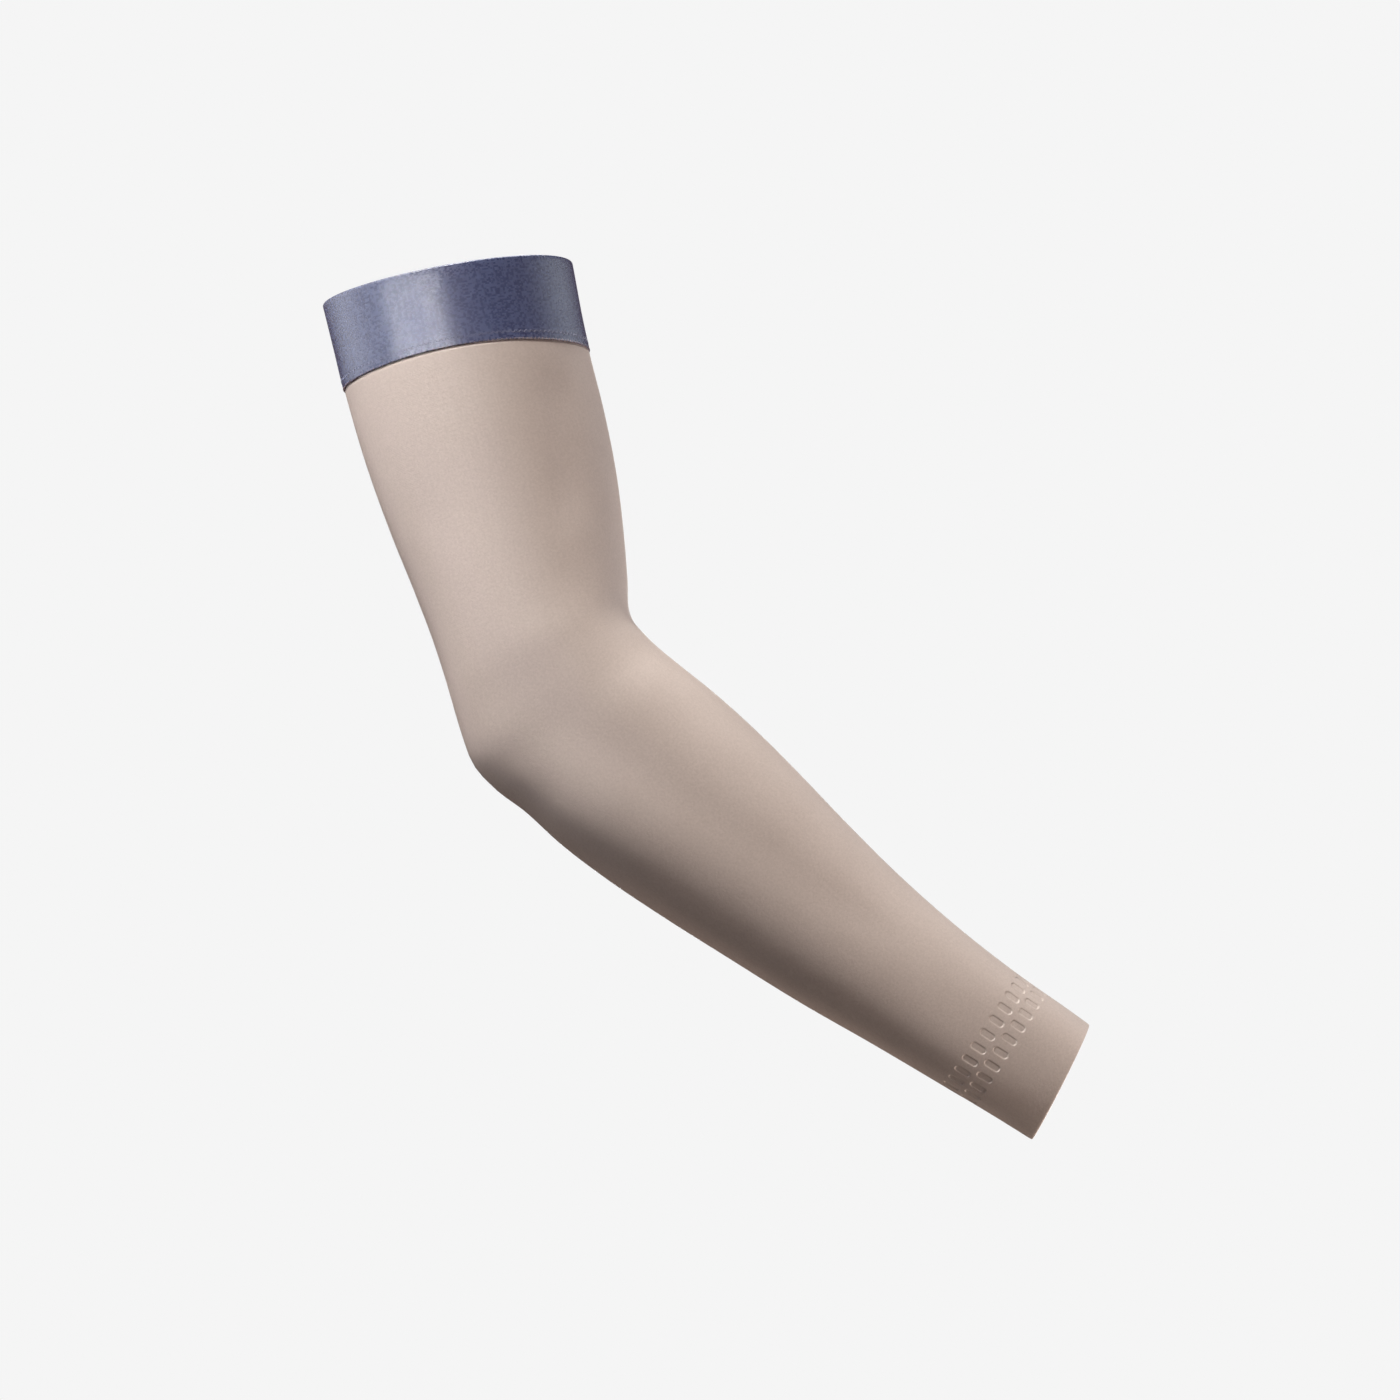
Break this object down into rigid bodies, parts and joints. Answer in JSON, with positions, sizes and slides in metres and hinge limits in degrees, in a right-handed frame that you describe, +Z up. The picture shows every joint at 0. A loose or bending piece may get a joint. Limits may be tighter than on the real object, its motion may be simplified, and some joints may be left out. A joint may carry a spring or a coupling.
{
  "type": "arm warmer",
  "caption": "Tapered tube of smooth stretch knit that covers an arm from upper arm to wrist, shaped for a bent elbow, with a folded elastic band that grips the upper arm.",
  "frame": {"origin": "on the arm's axis at the middle of the elastic band that grips the upper arm", "axes": "+Z up, +X to the front of the arm and towards the wrist, +Y across the arm; the arm bends in the XZ plane"},
  "size_m": [0.3065, 0.0906, 0.3521],
  "materials": {
    "sleeve_knit": "matt taupe, fine smooth knit",
    "band_elastic": "satin blue-grey, fine upright ribs"
  },
  "bodies": {
    "root": {"sleeve": "sleeve_knit", "cuff_band": "band_elastic"}
  },
  "joints": []
}
